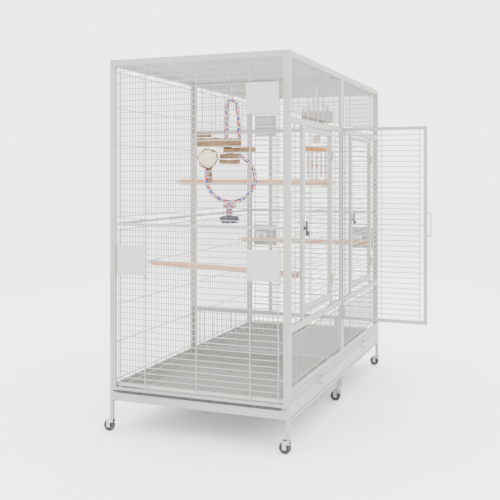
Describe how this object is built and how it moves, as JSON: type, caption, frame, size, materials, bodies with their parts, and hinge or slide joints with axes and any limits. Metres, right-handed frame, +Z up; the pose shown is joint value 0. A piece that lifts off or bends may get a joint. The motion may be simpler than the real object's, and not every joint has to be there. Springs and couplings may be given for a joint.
{
  "type": "bird cage on stand",
  "caption": "Large divided welded-wire parrot cage on casters with front doors, feeder doors, slide-out divider, trays, perches and hanging toys.",
  "frame": {"origin": "on the floor, under the middle of the whole object's box with the divider standing half out of the front", "axes": "+X along the long side to the right seen from the front, +Y to the back, +Z up; the doors face -Y"},
  "size_m": [1.66, 1.284, 1.613],
  "materials": {
    "powder_coat": "warm white powder coat, satin",
    "plate": "white powder coat on sheet metal",
    "galvanised": "zinc plated strip",
    "perch_wood": "turned hardwood dowel, unfinished",
    "bright_steel": "polished stainless steel",
    "dark_metal": "dark grey enamel",
    "grate_grey": "grey powder coat",
    "chrome": "bright plated",
    "caster_rubber": "black moulded tread",
    "cotton_rope": "three-strand cotton rope, red, white, blue and black",
    "toy_wood": "barked branch wood with pale cut ends",
    "dark_leather": "dark strips, frayed",
    "toy_colours": "dyed wood blocks and cotton strings"
  },
  "bodies": {
    "cage": {"tall_legs": "powder_coat", "short_middle_leg": "powder_coat", "front_middle_strip": "powder_coat", "base_rails": "powder_coat", "aprons": "powder_coat", "drawer_runners": "galvanised", "end_panel_left": "powder_coat", "end_panel_right": "powder_coat", "back_panel_left": "powder_coat", "back_panel_right": "powder_coat", "front_panel_left": "powder_coat", "front_panel_right": "powder_coat", "roof_panel_left": "powder_coat", "roof_panel_right": "powder_coat", "middle_upper_panel": "powder_coat", "middle_lower_panel": "powder_coat", "blank_plaques": "plate", "door_hinge_pins": "bright_steel", "feeder_hinge_rods": "powder_coat", "perch_upper": "perch_wood", "perch_lower": "perch_wood", "perch_right": "perch_wood", "perch_fasteners": "bright_steel", "roof_bolts": "bright_steel"},
    "door_left": {"door_left": "powder_coat"},
    "latch_left": {"door_latch_left": "dark_metal"},
    "door_right": {"door_right": "powder_coat"},
    "latch_right": {"door_latch_right": "dark_metal"},
    "divider": {"divider": "powder_coat", "divider_pull": "powder_coat"},
    "feeder_left_back": {"feeder_door_left_back": "plate", "feed_bowl_left_back": "bright_steel"},
    "feeder_left_front": {"feeder_door_left_front": "plate", "feed_bowl_left_front": "bright_steel"},
    "feeder_right_front": {"feeder_door_right_front": "plate", "feed_bowl_right_front": "bright_steel"},
    "feeder_right_back": {"feeder_door_right_back": "plate", "feed_bowl_right_back": "bright_steel"},
    "tray_left": {"tray_left": "powder_coat"},
    "tray_right": {"tray_right": "powder_coat"},
    "grate_left": {"grate_left": "grate_grey"},
    "grate_right": {"grate_right": "grate_grey"},
    "fork_front_left": {"caster_fork_front_left": "chrome"},
    "wheel_front_left": {"caster_wheel_front_left": "caster_rubber"},
    "fork_front_right": {"caster_fork_front_right": "chrome"},
    "wheel_front_right": {"caster_wheel_front_right": "caster_rubber"},
    "fork_back_left": {"caster_fork_back_left": "chrome"},
    "wheel_back_left": {"caster_wheel_back_left": "caster_rubber"},
    "fork_back_right": {"caster_fork_back_right": "chrome"},
    "wheel_back_right": {"caster_wheel_back_right": "caster_rubber"},
    "fork_back_middle": {"caster_fork_back_middle": "chrome"},
    "wheel_back_middle": {"caster_wheel_back_middle": "caster_rubber"},
    "fork_front_middle": {"caster_fork_front_middle": "chrome"},
    "wheel_front_middle": {"caster_wheel_front_middle": "caster_rubber"},
    "rope_toy": {"toy_hanger": "chrome", "toy_rope_loop": "cotton_rope", "toy_rope_ring": "cotton_rope", "toy_logs": "toy_wood", "toy_tassel": "dark_leather"},
    "block_toy": {"block_toy": "toy_colours"}
  },
  "joints": [
    {"name": "door_left_hinge", "type": "hinge", "parent": "cage", "child": "door_left", "pos_m": [-0.194, -0.215, 0.64], "axis": [0, 0, 1], "range_deg": [0, 105]},
    {"name": "latch_left_turn", "type": "hinge", "parent": "door_left", "child": "latch_left", "pos_m": [-0.6235, -0.21, 0.888], "axis": [0, -1, 0], "range_deg": [0, 90]},
    {"name": "door_right_hinge", "type": "hinge", "parent": "cage", "child": "door_right", "pos_m": [0.621, -0.215, 0.64], "axis": [0, 0, 1], "range_deg": [0, 165]},
    {"name": "latch_right_turn", "type": "hinge", "parent": "door_right", "child": "latch_right", "pos_m": [0.1915, -0.21, 0.888], "axis": [0, -1, 0], "range_deg": [0, 90]},
    {"name": "divider_slide", "type": "slide", "parent": "cage", "child": "divider", "axis": [0, -1, 0], "range_m": [-0.41, 0.3]},
    {"name": "feeder_left_back_hinge", "type": "hinge", "parent": "cage", "child": "feeder_left_back", "pos_m": [-0.822, 0.43, 0.7456], "axis": [0, 0, 1], "range_deg": [0, 105]},
    {"name": "feeder_left_front_hinge", "type": "hinge", "parent": "cage", "child": "feeder_left_front", "pos_m": [-0.822, -0.172, 0.7456], "axis": [0, 0, 1], "range_deg": [0, 105]},
    {"name": "feeder_right_front_hinge", "type": "hinge", "parent": "cage", "child": "feeder_right_front", "pos_m": [0.822, -0.03, 0.7456], "axis": [0, 0, 1], "range_deg": [0, 105]},
    {"name": "feeder_right_back_hinge", "type": "hinge", "parent": "cage", "child": "feeder_right_back", "pos_m": [0.822, 0.572, 0.7456], "axis": [0, 0, 1], "range_deg": [0, 105]},
    {"name": "tray_left_slide", "type": "slide", "parent": "cage", "child": "tray_left", "axis": [0, -1, 0], "range_m": [0, 0.7]},
    {"name": "tray_right_slide", "type": "slide", "parent": "cage", "child": "tray_right", "axis": [0, -1, 0], "range_m": [0, 0.7]},
    {"name": "grate_left_slide", "type": "slide", "parent": "cage", "child": "grate_left", "axis": [0, -1, 0], "range_m": [0, 0.7]},
    {"name": "grate_right_slide", "type": "slide", "parent": "cage", "child": "grate_right", "axis": [0, -1, 0], "range_m": [0, 0.7]},
    {"name": "swivel_front_left", "type": "hinge", "parent": "cage", "child": "fork_front_left", "pos_m": [-0.813, -0.203, 0.057], "axis": [0, 0, 1], "continuous": true},
    {"name": "roll_front_left", "type": "hinge", "parent": "fork_front_left", "child": "wheel_front_left", "pos_m": [-0.813, -0.189, 0.025], "axis": [1, 0, 0], "continuous": true},
    {"name": "swivel_front_right", "type": "hinge", "parent": "cage", "child": "fork_front_right", "pos_m": [0.813, -0.203, 0.057], "axis": [0, 0, 1], "continuous": true},
    {"name": "roll_front_right", "type": "hinge", "parent": "fork_front_right", "child": "wheel_front_right", "pos_m": [0.813, -0.189, 0.025], "axis": [1, 0, 0], "continuous": true},
    {"name": "swivel_back_left", "type": "hinge", "parent": "cage", "child": "fork_back_left", "pos_m": [-0.813, 0.603, 0.057], "axis": [0, 0, 1], "continuous": true},
    {"name": "roll_back_left", "type": "hinge", "parent": "fork_back_left", "child": "wheel_back_left", "pos_m": [-0.813, 0.617, 0.025], "axis": [1, 0, 0], "continuous": true},
    {"name": "swivel_back_right", "type": "hinge", "parent": "cage", "child": "fork_back_right", "pos_m": [0.813, 0.603, 0.057], "axis": [0, 0, 1], "continuous": true},
    {"name": "roll_back_right", "type": "hinge", "parent": "fork_back_right", "child": "wheel_back_right", "pos_m": [0.813, 0.617, 0.025], "axis": [1, 0, 0], "continuous": true},
    {"name": "swivel_back_middle", "type": "hinge", "parent": "cage", "child": "fork_back_middle", "pos_m": [0, 0.603, 0.057], "axis": [0, 0, 1], "continuous": true},
    {"name": "roll_back_middle", "type": "hinge", "parent": "fork_back_middle", "child": "wheel_back_middle", "pos_m": [0, 0.617, 0.025], "axis": [1, 0, 0], "continuous": true},
    {"name": "swivel_front_middle", "type": "hinge", "parent": "cage", "child": "fork_front_middle", "pos_m": [0, -0.189, 0.057], "axis": [0, 0, 1], "continuous": true},
    {"name": "roll_front_middle", "type": "hinge", "parent": "fork_front_middle", "child": "wheel_front_middle", "pos_m": [0, -0.175, 0.025], "axis": [1, 0, 0], "continuous": true},
    {"name": "rope_toy_swing", "type": "hinge", "parent": "cage", "child": "rope_toy", "pos_m": [-0.355, 0.232, 1.5903], "axis": [0.3633, -0.9317, 0], "range_deg": [-12, 12]},
    {"name": "block_toy_swing", "type": "hinge", "parent": "cage", "child": "block_toy", "pos_m": [0.38, 0.035, 1.5903], "axis": [0.3633, -0.9317, 0], "range_deg": [-12, 12]}
  ]
}
